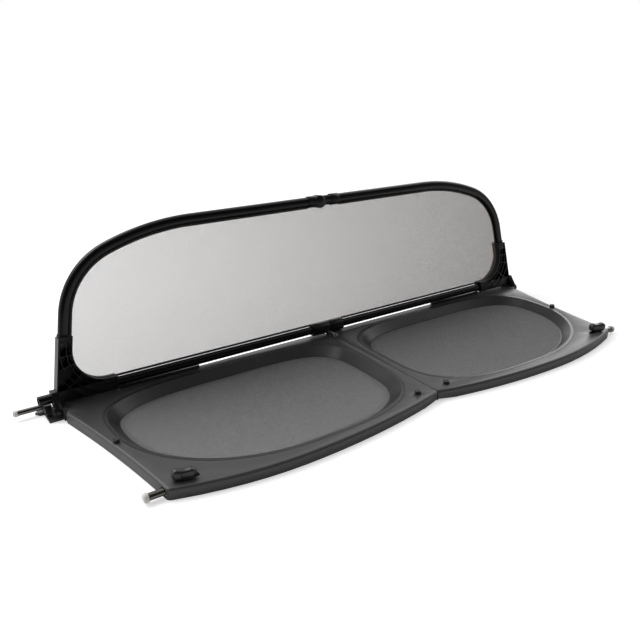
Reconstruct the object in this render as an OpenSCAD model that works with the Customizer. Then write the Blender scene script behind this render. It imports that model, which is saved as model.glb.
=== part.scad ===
// Folding wind deflector for an open car: two hinged deck halves with mesh wells
// and an upright screen in a tube frame.
// X runs across the car, Y to the rear and Z up. Each module is drawn from the seam's front end
// at the deck top, and the whole is then moved so that 0 is on the floor under its middle.

/* [Deck] */
// Half width of the deck at its front corners
deck_half = 550; // [500:5:620]
// Depth of the deck along the seam
deck_depth = 365; // [355:1:380]
// How far each front edge bows forward
front_bow = 38; // [24:1:50]
// Height of the deck from floor to top
deck_h = 20; // [20:0.5:24]
// Thickness of the deck skin and skirt
wall = 3; // [2.4:0.2:3.4]
// Gap between the halves at the seam
seam_gap = 1.5; // [1:0.1:2.4]

/* [Wells] */
// Depth of a well below the deck top
well_drop = 19; // [15:0.5:19]
// How far a well's wall leans in from top to bottom
well_lean = 20; // [12:1:26]
// Width of the well ring's flange
flange_w = 6.5; // [5:0.5:7]
// Gap that shows round the flange
flange_gap = 0.7; // [0.4:0.1:1]
// Thickness of the mesh cloth in the wells and the screen
cloth_t = 0.8; // [0.6:0.1:1]

/* [Screen] */
// Height of the top tube's centre line above the pivot, along the screen
screen_h = 307; // [290:1:320]
// Angle that the screen leans back from upright
lean = 7; // [4:0.5:10]
// Radius of the frame's upper corners
corner_r = 145; // [120:5:160]
// Radius of the shoulders beside the upper corners
shoulder_r = 500; // [400:20:560]
// Lean of the frame's sides towards the middle
side_lean = 10.8; // [8:0.2:13]
// Height of the tube's oval section
tube_h = 22; // [20:0.5:24]
// Thickness of the tube's oval section
tube_t = 18; // [16:0.5:18]
// Wall of the frame tubes
tube_wall = 1.6; // [1.2:0.1:2]
// Diameter of the lower rail
rail_d = 18; // [15:1:18]

/* [Locating pins] */
// Diameter of the sliding front pins
front_pin_d = 12; // [10:0.5:12]
// Diameter of the fixed rear pins
rear_pin_d = 10; // [8:0.5:10]
// How far a front pin draws in
pin_travel = 20; // [14:1:20]
// Radial clearance of a running pin or pivot
run_gap = 0.05; // [0.03:0.01:0.1]

/* [Hidden] */
// Rows of the front edge: the bow is deepest here, and two arcs meet in it.
bow_x = deck_half - 230;
bow_r_in = (pow(bow_x, 2) + pow(front_bow, 2)) / (2 * front_bow);
bow_r_out = (pow(deck_half - bow_x, 2) + pow(front_bow, 2)) / (2 * front_bow);
front_corner_r = 9;
rear_corner_r = 9;
side_slope = 0.115;
side_curve = 0.0002;
bracket_front = 328;
bracket_in = deck_half + 42;
skirt_bottom = -deck_h;

// The deck hinge runs along Y under the seam.
hinge_z = 3 - deck_h;
knuckle_r = 3;
hinge_pin_d = 3.2;
relief_x = 45;
relief_z = hinge_z + 4.2;
knuckle_len = 16;
knuckle_step = knuckle_len + 0.4;
knuckle_groups = [8, 150, 278];
rib_h = 9.5;
sill_x = deck_half - 224;
sill_h = 4.5;

// Wells, as a round-cornered outline with its own curve in each quarter.
well_out = deck_half + 5;
well_in = 22;
well_mid = (well_in + well_out) / 2;
well_front = -8;
well_rear = deck_depth - 28;
well_out_y = 215;
well_in_y = 165;
well_steps = 16;
flange_t = 1.6;
seat_w = 3;
ring_t = 2.2;

// The screen's pivot line runs along X; w is the distance behind it, s the height along the screen.
axis_y = 342;
axis_z = -3;
mid_w = 18.3;
side_foot_x = deck_half + 52.9;
shoulder_turn = 20;
corner_turn = 90 - side_lean - shoulder_turn;
corner_end_s = screen_h - shoulder_r * (1 - cos(shoulder_turn))
    - corner_r * (cos(shoulder_turn) - cos(90 - side_lean));
corner_end_x = side_foot_x - corner_end_s * tan(side_lean);
shoulder_x = corner_end_x - corner_r * (sin(90 - side_lean) - sin(shoulder_turn))
    - shoulder_r * sin(shoulder_turn);
shoulder_steps = 5;
corner_steps = 10;
oval_steps = 10;
collar_s = 129;
collar_len = 12;
collar_t = 1.5;
slot_w = 2.6;
slot_depth = 2.4;
mesh_reach = 2;
mesh_r = 60;
mesh_edge = 13;
mesh_s = 34;
mesh_cs = mesh_s + mesh_r;
mesh_cx = side_foot_x - mesh_cs * tan(side_lean) - (mesh_edge + mesh_r) / cos(side_lean);

// Lower corner mouldings
moulding_w0 = mid_w - 11.5;
moulding_w1 = mid_w + 11.5;
moulding_s = 8.6;
moulding_in = mesh_cx - 14;
moulding_wall = 2.4;
rib_t = 1.6;
rib_offsets = [11.4, 23.5, 36];
spoke_angles = [-15, -38, -66];
cover_w = moulding_w0 + 2;
pocket_s1 = collar_s - collar_len - 6;
ear_x0 = deck_half + 58.5;
ear_x1 = deck_half + 69;
ear_r = 10;
pivot_d = 8;
head_d = 18;
rail_s = 20;
rail_r = rail_d / 2;
rail_in = 22;
pocket_s0 = rail_s + rail_r + 2;
rail_out_left = deck_half + 92;
rail_out_right = deck_half + 67;

// Centre joints
drum_r = 14;
drum_l = 23;
drum_x = -3;
drum_s = screen_h - 1;
joint_left = -45;
joint_right = 38;
tongue_x0 = 1;
tongue_x1 = 9;
lug_x0 = 9.4;
lug_x1 = 12.4;
notch_y = 333;
centre_pin_d = 5;
centre_head_d = 7.5;

// Corner brackets and rear pins
lug_top = 2;
tongue_z = -8;
tongue_t = 4;
block_x0 = deck_half + 70.5;
block_x1 = deck_half + 83;
block_top = 2.5;
block_rear = 388;
rear_pin_y = 380;
rear_pin_z = -6;
rear_pin_out_left = deck_half + 127;
rear_pin_out_right = deck_half + 93;
rear_tip_d = 13;

// Front pins and knobs
pin_y = 12;
pin_z = -10;
pin_in = deck_half - 42;
pin_out = deck_half + 26;
front_tip_d = 16;
stem_d = 6;
stem_in = deck_half - 88;
pin_wall_x0 = deck_half - 80;
pin_wall_x1 = deck_half - 76;
boss_x0 = deck_half - 17;
boss_x1 = deck_half - 4;
knob_x = deck_half - 33;
knob_y = 11;
knob_top = 19;
post_d = 8;
spring_wire = 1.2;
spring_turns = 8;

// Middle of the footprint on the floor, from the seam's front end at the deck top.
base_y = 186;
base = [(rear_pin_out_right - rear_pin_out_left) / 2, base_y, -deck_h];

$fn = 96;

function unit(v) = v / norm(v);
function left_normal(a, b) = let (d = unit(b - a)) [-d.y, d.x];

// A closed path, run anticlockwise, drawn in by t all round.
function drawn_in(path, t) = [
    for (i = [0 : len(path) - 1])
        let (
            b = path[i],
            m = left_normal(path[(i + len(path) - 1) % len(path)], b),
            n = left_normal(b, path[(i + 1) % len(path)])
        )
        b + t * (m + n) / (1 + m * n)
];

// Points round a corner at p where the heading turns left from a to b on radius r.
function round_corner(p, a, b, r, n = 5) =
    let (
        t = r * tan((b - a) / 2),
        c = p + [-t * cos(a) - r * sin(a), -t * sin(a) + r * cos(a)]
    )
    [for (i = [0 : n]) let (h = a + (b - a) * i / n) c + r * [sin(h), -cos(h)]];

function side_x(y) = deck_half + side_slope * y + side_curve * y * y;
function side_heading(y) = atan2(1, side_slope + 2 * side_curve * y);
function front_y(x) = x < bow_x
    ? bow_r_in - front_bow - sqrt(pow(bow_r_in, 2) - pow(x - bow_x, 2))
    : bow_r_out - front_bow - sqrt(pow(bow_r_out, 2) - pow(x - bow_x, 2));
front_heading = asin((deck_half - bow_x) / bow_r_out);

// Outline of the right deck half, with its rear corner cut away for the bracket.
function deck_path() = concat(
    [for (i = [0 : 15]) let (x = seam_gap / 2 + (deck_half - 10 - seam_gap / 2) * i / 15) [x, front_y(x)]],
    round_corner([deck_half, 0], front_heading, side_heading(0), front_corner_r),
    [for (y = [30 : 35 : 310]) [side_x(y), y]],
    round_corner([side_x(bracket_front), bracket_front], side_heading(bracket_front), 180, rear_corner_r, 8),
    [
        [bracket_in - 0.3, bracket_front],
        [bracket_in - 0.3, deck_depth],
        [seam_gap / 2, deck_depth]
    ]
);

// One quarter of the well: from the middle to an outer x, on rise h from row y, with exponent n.
function quarter(x, y, h, n, g, back) = [
    for (i = [0 : well_steps - 1])
        let (
            k = back ? well_steps - i : i,
            a = 90 * k / well_steps,
            half_x = abs(x - well_mid) + g,
            half_y = abs(h) + g
        )
        [
            well_mid + sign(x - well_mid) * half_x * pow(sin(a), 2 / n),
            y + sign(h) * half_y * pow(cos(a), 2 / n)
        ]
];

// Outline of the right well's inner edge, grown by g.
function well_path(g) = concat(
    quarter(well_out, well_out_y, well_front - well_out_y, 2.1, g, false),
    quarter(well_out, well_out_y, well_rear - well_out_y, 3.2, g, true),
    quarter(well_in, well_in_y, well_rear - well_in_y, 4.3, g, false),
    quarter(well_in, well_in_y, well_front - well_in_y, 3.1, g, true)
);

module on_side(s) {
    if (s < 0)
        mirror([1, 0, 0]) children();
    else
        children();
}

// A flat shape in the x and z plane, made solid from y0 to y1.
module upright(y0, y1) {
    translate([0, y1, 0]) rotate([90, 0, 0]) linear_extrude(y1 - y0) children();
}

// A flat shape in the y and z plane, made solid from x0 to x1.
module sideways(x0, x1) {
    translate([x0, 0, 0]) rotate([90, 0, 90]) linear_extrude(x1 - x0) children();
}

module rod_x(d, x0, x1) {
    translate([x0, 0, 0]) rotate([0, 90, 0]) cylinder(d = d, h = x1 - x0);
}

module on_pivot() {
    translate([0, axis_y, axis_z]) children();
}

module on_screen() {
    on_pivot() rotate([-lean, 0, 0]) children();
}

module at_front_pin() {
    translate([0, pin_y, pin_z]) children();
}

module at_rear_pin() {
    translate([0, rear_pin_y, rear_pin_z]) children();
}

// Deck

module deck_skin() {
    difference() {
        translate([0, 0, -wall]) linear_extrude(wall) polygon(deck_path());
        translate([0, 0, -wall - 1]) linear_extrude(wall + 2) polygon(well_path(flange_w - seat_w));
        translate([0, 0, -flange_t]) linear_extrude(flange_t + 1) polygon(well_path(flange_w + flange_gap));
        centre_notch();
        on_pivot() rod_x(centre_pin_d + 2 * run_gap, lug_x0 - 1, lug_x1 + 1);
        on_pivot() rod_x(centre_head_d + 0.6, lug_x1, lug_x1 + 2.4);
        translate([knob_x - pin_travel - post_d / 2 - 0.6, knob_y - post_d / 2 - 0.4, -wall - 1])
            cube([pin_travel + post_d + 1.2, post_d + 0.8, wall + 2]);
        buffer_places() translate([0, 0, -wall - 1]) cylinder(d = 5, h = wall + 2);
    }
}

module centre_notch() {
    translate([-1, notch_y, -deck_h]) cube([lug_x0 + 1, deck_depth, deck_h + 1]);
}

module deck_skirt() {
    difference() {
        translate([0, 0, skirt_bottom]) linear_extrude(deck_h - wall) difference() {
            polygon(deck_path());
            polygon(drawn_in(deck_path(), wall));
        }
        centre_notch();
        at_front_pin() rod_x(front_pin_d + 4, deck_half - 10, deck_half + 10);
    }
}

// Stiffening ribs between the skirt and a hoop round the well.
module deck_ribs() {
    translate([0, 0, -wall - rib_h]) {
        linear_extrude(rib_h) difference() {
            polygon(well_path(flange_w + 1));
            polygon(well_path(flange_w - seat_w + 1));
        }
        intersection() {
            linear_extrude(rib_h) difference() {
                polygon(drawn_in(deck_path(), wall / 2));
                polygon(well_path(flange_w));
            }
            difference() {
                for (i = [1 : 8])
                    translate([well_in + i * (deck_half - well_in) / 9 - 1, -front_bow, 0])
                        cube([2, deck_depth + front_bow, rib_h]);
                translate([pin_wall_x0 - 40, pin_y - 10, -1])
                    cube([deck_half - pin_wall_x0 + 40, 20, rib_h + 2]);
            }
        }
        intersection() {
            linear_extrude(rib_h) difference() {
                polygon(drawn_in(deck_path(), wall / 2));
                polygon(well_path(flange_w));
            }
            for (y = [70 : 80 : 310])
                translate([0, y - 1, 0]) cube([deck_half + 60, 2, rib_h]);
        }
    }
}

// Walls that carry the sliding pin, and the sides of its channel.
module pin_housing() {
    difference() {
        union() {
            translate([boss_x0, pin_y - 9, -deck_h + 2]) cube([boss_x1 - boss_x0, 18, deck_h - 2 - wall / 2]);
            translate([pin_wall_x0, pin_y - 9, -deck_h + 4])
                cube([pin_wall_x1 - pin_wall_x0, 18, deck_h - 4 - wall / 2]);
            for (y = [pin_y - 9.5, pin_y + 8])
                translate([pin_wall_x0, y, -deck_h + 4])
                    cube([boss_x1 - pin_wall_x0, 1.5, deck_h - 4 - wall / 2]);
        }
        at_front_pin() {
            rod_x(front_pin_d + 2 * run_gap, pin_wall_x1 + 1, deck_half + 10);
            rod_x(stem_d + 2 * run_gap, pin_wall_x0 - 1, pin_wall_x1 + 2);
        }
    }
}

// Bosses under the skin that take the bracket's screws.
module bracket_bosses() {
    bracket_screw_places() difference() {
        translate([0, 0, tongue_z]) cylinder(d = 8, h = -tongue_z - wall + 1);
        translate([0, 0, tongue_z - 1]) cylinder(d = 3, h = -tongue_z - wall + 1.6);
    }
}

// Ears beside the seam, round the screen's pivot line, and the walls of the notch between them.
module centre_lug() {
    difference() {
        union() {
            on_pivot() sideways(lug_x0, lug_x1) union() {
                circle(d = 13);
                translate([-6.5, relief_z - axis_z]) square([13, -(relief_z - axis_z)]);
            }
            translate([lug_x0, notch_y - wall, relief_z])
                cube([wall, deck_depth - notch_y + wall, -relief_z - wall / 2]);
            translate([seam_gap / 2, notch_y - wall, relief_z])
                cube([lug_x0 + 1, wall, -relief_z - wall / 2]);
        }
        on_pivot() rod_x(centre_pin_d + 2 * run_gap, lug_x0 - 1, lug_x1 + 1);
    }
}

// Hinge knuckles: first and last in each group of three belong to the left half.
module knuckle(y) {
    difference() {
        union() {
            translate([0, y, hinge_z]) rotate([-90, 0, 0]) cylinder(r = knuckle_r, h = knuckle_len);
            translate([0, y, hinge_z - knuckle_r]) cube([16, knuckle_len, 2 * knuckle_r]);
            translate([6, y, hinge_z]) cube([10, knuckle_len, -hinge_z - wall + 1]);
        }
        translate([0, y - 1, hinge_z]) rotate([-90, 0, 0])
            cylinder(d = hinge_pin_d + 2 * run_gap, h = knuckle_len + 2);
        translate([-knuckle_r - 1, y - 1, hinge_z + knuckle_r])
            cube([knuckle_r + 1 + seam_gap / 2, knuckle_len + 2, 30]);
    }
}

module deck_half_shell(knuckles) {
    difference() {
        union() {
            deck_skin();
            deck_skirt();
            deck_ribs();
            // sill that closes the gap under the lower rail towards each end
            translate([sill_x, deck_depth - 6, -wall / 2])
                cube([moulding_in - 3 - sill_x, 6, wall / 2 + sill_h]);
        }
        translate([-1, -front_bow - 1, skirt_bottom - 1])
            cube([relief_x + 1, deck_depth + front_bow + 2, relief_z - skirt_bottom + 1]);
        translate([bracket_in - 33, axis_y - 3, -wall - 20]) cube([34, deck_depth - wall - axis_y + 3, 20]);
    }
    bracket_bosses();
    pin_housing();
    centre_lug();
    for (g = knuckle_groups, i = knuckles)
        knuckle(g + i * knuckle_step);
}

module deck_left() {
    color("#4b4b4c") on_side(-1) deck_half_shell([0, 2]);
}

module deck_right() {
    color("#4b4b4c") deck_half_shell([1]);
}

module well_ring() {
    bottom = -well_drop;
    difference() {
        union() {
            translate([0, 0, -flange_t]) linear_extrude(flange_t) polygon(well_path(flange_w));
            hull() {
                translate([0, 0, -flange_t]) linear_extrude(0.1) polygon(well_path(ring_t));
                translate([0, 0, bottom]) linear_extrude(0.1) polygon(well_path(ring_t - well_lean));
            }
        }
        hull() {
            linear_extrude(0.1) polygon(well_path(0));
            translate([0, 0, bottom + 2]) linear_extrude(0.1) polygon(well_path(-well_lean + 2));
        }
        translate([0, 0, bottom + 1]) linear_extrude(3) polygon(well_path(-well_lean + 0.5));
        translate([0, 0, bottom - 1]) linear_extrude(4) polygon(well_path(-well_lean - 8));
    }
}

module well_ring_left() {
    color("#454546") on_side(-1) well_ring();
}

module well_ring_right() {
    color("#454546") well_ring();
}

module well_mesh() {
    translate([0, 0, -well_drop + 1]) linear_extrude(cloth_t) polygon(well_path(-well_lean + 0.3));
}

module well_mesh_left() {
    color("#6c6c6e") on_side(-1) well_mesh();
}

module well_mesh_right() {
    color("#6c6c6e") well_mesh();
}

module buffer_places() {
    for (p = [[deck_half + 16, 173], [37, 16]])
        translate([p.x, p.y, 0]) children();
}

// Rubber stops with a stem pushed through the deck.
module buffers() {
    buffer_places() {
        rotate_extrude() polygon(concat(
            [[0, 0], [6, 0]],
            [for (a = [0 : 15 : 90]) [4.6 + 1.4 * cos(a), 4.6 + 1.4 * sin(a)]],
            [[3, 5.6], [0, 5.2]]
        ));
        translate([0, 0, -wall]) cylinder(d = 5, h = wall);
        translate([0, 0, -wall - 2]) cylinder(d1 = 5, d2 = 7, h = 2);
    }
}

module buffers_left() {
    color("#2f2f30") on_side(-1) buffers();
}

module buffers_right() {
    color("#2f2f30") buffers();
}

module deck_hinge_pin() {
    color("#3c3c3e")
        translate([0, -1, hinge_z]) rotate([-90, 0, 0])
            cylinder(d = hinge_pin_d, h = knuckle_groups[2] + 2 * knuckle_step + knuckle_len + 2);
}

// Rear corner hardware

module bracket_screw_places() {
    for (x = [bracket_in - 26, bracket_in - 10])
        translate([x, axis_y + 9, 0]) children();
}

module corner_bracket() {
    difference() {
        union() {
            sideways(bracket_in, ear_x0 - 0.5) polygon([
                [bracket_front + 0.3, skirt_bottom], [deck_depth, skirt_bottom],
                [deck_depth, lug_top - 3], [deck_depth - 3, lug_top],
                [bracket_front + 4, lug_top], [bracket_front + 0.3, lug_top - 3]
            ]);
            translate([bracket_in, axis_y - 7, skirt_bottom])
                cube([block_x1 - bracket_in, block_rear - axis_y + 7, 5]);
            sideways(block_x0, block_x1) polygon([
                [352.5, skirt_bottom], [block_rear, skirt_bottom], [block_rear, block_top],
                [361, block_top], [352.5, -9]
            ]);
            translate([0, 0, skirt_bottom]) linear_extrude(4) polygon([
                [block_x0, 372], [block_x1 + 7, 373], [block_x1 + 14, 383],
                [block_x1 + 7, 391], [block_x0, 391]
            ]);
            translate([bracket_in - 32, axis_y - 2, tongue_z - tongue_t])
                cube([33, deck_depth - wall - axis_y + 1.7, tongue_t]);
        }
        on_pivot() rod_x(pivot_d, bracket_in + 2, ear_x0);
        at_rear_pin() rod_x(rear_pin_d, block_x0 + 1.5, block_x1 + 1);
        bracket_screw_places() translate([0, 0, tongue_z - tongue_t - 1]) cylinder(d = 3.4, h = tongue_t + 2);
    }
}

module corner_bracket_left() {
    color("#5a5a5a") on_side(-1) corner_bracket();
}

module corner_bracket_right() {
    color("#5a5a5a") corner_bracket();
}

module bracket_screws() {
    bracket_screw_places() {
        translate([0, 0, tongue_z - tongue_t]) cylinder(d = 3, h = tongue_t - tongue_z - wall);
        translate([0, 0, tongue_z - tongue_t - 2.4]) difference() {
            cylinder(d = 7, h = 2.4);
            translate([0, 0, -1]) cylinder(d = 3.4, h = 2.4, $fn = 6);
        }
    }
}

module bracket_screws_left() {
    color("#2b2b2c") on_side(-1) bracket_screws();
}

module bracket_screws_right() {
    color("#2b2b2c") bracket_screws();
}

module pivot_head(x) {
    on_pivot() translate([x, 0, 0]) rotate([0, 90, 0]) rotate_extrude() polygon([
        [0, 0], [head_d / 2, 0], [head_d / 2, 3.4], [head_d / 2 - 1.6, 5],
        [head_d / 2 - 3, 5], [head_d / 2 - 3.6, 4], [2.4, 4], [2.4, 2.4], [0, 2.4]
    ]);
}

module pivot_pin_left() {
    color("#3a3936") on_side(-1) {
        on_pivot() rod_x(pivot_d, bracket_in + 2.2, ear_x1 + 1);
        pivot_head(ear_x1 + 0.6);
    }
}

module pivot_pin_right() {
    color("#3a3936") {
        on_pivot() rod_x(pivot_d, ear_x0 - 0.2, ear_x1 + 1);
        pivot_head(ear_x1);
    }
}

module rear_pin(out) {
    at_rear_pin() difference() {
        rod_x(rear_pin_d, block_x0 + 1.7, out);
        rod_x(4, out - 8, out + 1);
    }
}

module rear_pin_left() {
    color("#4a4846") on_side(-1) rear_pin(rear_pin_out_left);
}

module rear_pin_right() {
    color("#4a4846") rear_pin(rear_pin_out_right);
}

// Domed plastic cap with a plug and a small hole in its end.
module tip(d) {
    rotate([0, 90, 0]) difference() {
        union() {
            rotate_extrude() polygon(concat(
                [[0, 0], [d / 2, 0]],
                [for (a = [0 : 10 : 60]) [d / 2 - 5 + 5 * cos(a), 3 + 5 * sin(a)]],
                [[0, 3 + 5 * sin(60) + 0.3]]
            ));
            translate([0, 0, -6]) cylinder(d = 4, h = 7);
        }
        translate([0, 0, 3]) cylinder(d = 2.2, h = 10);
    }
}

module rear_tip_left() {
    color("#e8e6e0") on_side(-1) at_rear_pin() translate([rear_pin_out_left, 0, 0]) tip(rear_tip_d);
}

module rear_tip_right() {
    color("#e8e6e0") at_rear_pin() translate([rear_pin_out_right, 0, 0]) tip(rear_tip_d);
}

// Sliding front pins

module front_pin() {
    difference() {
        at_front_pin() {
            rod_x(front_pin_d, pin_in, pin_out);
            rod_x(stem_d, stem_in, pin_in + 1);
        }
        translate([knob_x, knob_y, pin_z]) cylinder(d = post_d, h = 20);
        translate([knob_x, knob_y, pin_z - 20]) cylinder(d = 3.6, h = 30);
        translate([knob_x, knob_y, pin_z - 20]) cylinder(d = 7, h = 17);
        at_front_pin() rod_x(4, pin_out - 8, pin_out + 1);
    }
}

module front_pin_left() {
    color("#55534f") on_side(-1) front_pin();
}

module front_pin_right() {
    color("#55534f") front_pin();
}

module front_tip_left() {
    color("#e8e6e0") on_side(-1) at_front_pin() translate([pin_out, 0, 0]) tip(front_tip_d);
}

module front_tip_right() {
    color("#e8e6e0") at_front_pin() translate([pin_out, 0, 0]) tip(front_tip_d);
}

// Thumb knob: a saddle on a post that reaches down into the pin.
module knob() {
    translate([knob_x, knob_y, 0]) difference() {
        union() {
            difference() {
                hull() for (x = [-16, 16], y = [-4.5, 4.5]) {
                    translate([x, y, 0.4]) cylinder(r = 4, h = 1, $fn = 24);
                    translate([x, y, knob_top - 4]) sphere(r = 4, $fn = 24);
                }
                translate([0, 20, knob_top + 20]) rotate([90, 0, 0]) cylinder(r = 25, h = 40);
                translate([-13, -9.5, 2.5]) cube([17, 2, 9.5]);
            }
            translate([0, 0, pin_z + 0.2]) cylinder(d = post_d, h = 12);
        }
        translate([0, 0, pin_z - 1]) cylinder(d = 2.6, h = 12);
    }
}

module knob_left() {
    color("#353536") on_side(-1) knob();
}

module knob_right() {
    color("#353536") knob();
}

module knob_screw() {
    translate([knob_x, knob_y, pin_z]) {
        translate([0, 0, -3]) cylinder(d = 2.6, h = 12);
        translate([0, 0, -4.8]) difference() {
            cylinder(d = 6, h = 1.8);
            translate([0, 0, -1]) cylinder(d = 2.6, h = 2, $fn = 6);
        }
    }
}

module knob_screw_left() {
    color("#2b2b2c") on_side(-1) knob_screw();
}

module knob_screw_right() {
    color("#2b2b2c") knob_screw();
}

// Coil spring round the pin's stem, from the housing wall to the pin's shoulder.
module pin_spring() {
    sides = 6;
    steps = 12;
    r = 4.6;
    len = pin_in - pin_wall_x1 - spring_wire - 0.4;
    n = spring_turns * steps;
    points = [
        for (i = [0 : n], j = [0 : sides - 1])
            let (
                a = 360 * i / steps,
                b = 360 * j / sides,
                q = r + spring_wire / 2 * cos(b)
            )
            [
                pin_wall_x1 + 0.2 + spring_wire / 2 + len * i / n + spring_wire / 2 * sin(b),
                q * cos(a),
                q * sin(a)
            ]
    ];
    faces = concat(
        [[for (j = [0 : sides - 1]) sides - 1 - j]],
        [[for (j = [0 : sides - 1]) n * sides + j]],
        [
            for (i = [0 : n - 1], j = [0 : sides - 1])
                let (k = (j + 1) % sides)
                [i * sides + j, i * sides + k, (i + 1) * sides + k, (i + 1) * sides + j]
        ]
    );
    at_front_pin() polyhedron(points, faces);
}

module pin_spring_left() {
    color("#8b8b8c") on_side(-1) pin_spring();
}

module pin_spring_right() {
    color("#8b8b8c") pin_spring();
}

// Screen frame

module oval(h, t) {
    square([h - t, t], center = true);
    for (x = [-1, 1])
        translate([x * (h - t) / 2, 0]) circle(d = t);
}

module on_side_line(s) {
    translate([side_foot_x - s * tan(side_lean), mid_w, s]) rotate([0, -side_lean, 0]) children();
}

// One point on an oval's outline: step i of oval_steps round the end on the given side.
function oval_point(h, t, side, i) =
    let (a = 180 * i / oval_steps - 90 * side)
    [side * (h - t) / 2 + t / 2 * cos(a), t / 2 * sin(a)];

// Section of the tube, x away from the mesh, with a groove for the mesh's edge on its inner side.
function tube_outline() = concat(
    [for (i = [0 : oval_steps]) oval_point(tube_h, tube_t, 1, i)],
    [for (i = [0 : oval_steps / 2 - 1]) oval_point(tube_h, tube_t, -1, i)],
    [
        for (p = [[0, 1], [slot_depth, 1], [slot_depth, -1], [0, -1]])
        [p.x - (tube_h - tube_t) / 2 - sqrt(pow(tube_t / 2, 2) - pow(slot_w / 2, 2)), p.y * slot_w / 2]
    ],
    [for (i = [oval_steps / 2 + 1 : oval_steps]) oval_point(tube_h, tube_t, -1, i)]
);

// Bore of the tube, with as many points as its outline.
function tube_bore() =
    let (
        h = tube_h - 3 - 2 * tube_wall,
        t = tube_t - 2 * tube_wall,
        mid = oval_steps / 2,
        left = [each [0 : mid - 1], mid - 0.6, mid - 0.2, mid + 0.2, mid + 0.6, each [mid + 1 : oval_steps]]
    )
    concat(
        [for (i = [0 : oval_steps]) oval_point(h, t, 1, i) + [1.5, 0]],
        [for (i = left) oval_point(h, t, -1, i) + [1.5, 0]]
    );

// Stations along one half of the frame, each with its x, its s and the angle that its section faces.
function frame_stations(from_x, to_s) = concat(
    [[from_x, screen_h, 90]],
    [
        for (i = [0 : shoulder_steps]) let (a = 90 - shoulder_turn * i / shoulder_steps)
        [shoulder_x + shoulder_r * cos(a), screen_h - shoulder_r + shoulder_r * sin(a), a]
    ],
    [
        for (i = [1 : corner_steps]) let (a = 90 - shoulder_turn - corner_turn * i / corner_steps)
        [
            corner_end_x + corner_r * (cos(a) - cos(side_lean)),
            corner_end_s + corner_r * (sin(a) - sin(side_lean)),
            a
        ]
    ],
    [[side_foot_x - to_s * tan(side_lean), to_s, side_lean]]
);

// Two sections, outline and bore, run through stations as one hollow body.
module swept(outline, bore, stations) {
    n = len(outline);
    m = len(stations);
    last = 2 * n * (m - 1);
    polyhedron(
        [
            for (t = stations, p = concat(outline, bore))
            [t[0] + p.x * cos(t[2]), mid_w + p.y, t[1] + p.x * sin(t[2])]
        ],
        concat(
            [for (j = [0 : n - 1]) let (k = (j + 1) % n) [k, j, n + j, n + k]],
            [for (j = [0 : n - 1]) let (k = (j + 1) % n) [last + j, last + k, last + n + k, last + n + j]],
            [
                for (i = [0 : m - 2], j = [0 : n - 1])
                let (k = (j + 1) % n, a = 2 * n * i, b = a + 2 * n)
                each [[a + j, a + k, b + k, b + j], [a + n + k, a + n + j, b + n + j, b + n + k]]
            ]
        )
    );
}

// Hollow tube of one half: level top, shoulder, corner and leaning side.
module upper_tube(from_x) {
    on_screen() swept(tube_outline(), tube_bore(), frame_stations(from_x, collar_s - collar_len));
}

module upper_tube_left() {
    color("#1c1c1d") on_side(-1) upper_tube(20);
}

module upper_tube_right() {
    color("#1c1c1d") upper_tube(32);
}

// The mesh's corner, as the area that a moulding leaves free, grown by t.
module mesh_corner(t, top) {
    c = [mesh_cx, mesh_cs];
    edge_x = side_foot_x - (mesh_edge - t) / cos(side_lean);
    translate(c) circle(r = mesh_r + t, $fn = 128);
    polygon([
        [mesh_cx - 40, mesh_s - t], [mesh_cx, mesh_s - t], c,
        c + (mesh_r + t) * [cos(side_lean), sin(side_lean)],
        [edge_x - top * tan(side_lean), top], [mesh_cx - 40, top]
    ]);
}

// Outline of a corner moulding, drawn in by t.
module moulding_outline(t) {
    outer = side_foot_x + tube_h / 2 + 1.6 - t / cos(side_lean);
    difference() {
        polygon([
            [moulding_in + t, moulding_s + t],
            [outer - (moulding_s + t) * tan(side_lean), moulding_s + t],
            [outer - (collar_s - t) * tan(side_lean), collar_s - t],
            [moulding_in + t, collar_s - t]
        ]);
        mesh_corner(t, collar_s + 10);
    }
}

// Ribs of a moulding: arcs round the mesh's corner, spokes across them and two level bars.
module moulding_ribs() {
    translate([mesh_cx, mesh_cs]) {
        rotate(side_lean) {
            difference() {
                for (k = rib_offsets)
                    difference() {
                        circle(r = mesh_r + k, $fn = 128);
                        circle(r = mesh_r + k - rib_t, $fn = 128);
                    }
                translate([-200, 0]) square(400);
            }
            translate([mesh_r + rib_offsets[0] - rib_t, 0]) square([rib_t, 60]);
        }
        for (a = spoke_angles)
            rotate(a) translate([mesh_r - 2, -rib_t / 2]) square([80, rib_t]);
    }
    for (s = [collar_s - 9, collar_s - 35])
        translate([mesh_cx + 40, s]) square([60, rib_t]);
}

// The pivot ear in the w and s plane: a disc with an arm up to the moulding.
module ear_outline() {
    circle(r = ear_r);
    p = [moulding_w0 + 1, moulding_s + 24];
    q = [moulding_w1 - 2, moulding_s + 2];
    up = atan2(p.y, p.x) + acos(ear_r / norm(p));
    low = atan2(q.y, q.x) - acos(ear_r / norm(q));
    polygon([ear_r * [cos(up), sin(up)], [0, 0], ear_r * [cos(low), sin(low)], q, [moulding_w1 - 2, p.y], p]);
}

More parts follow.
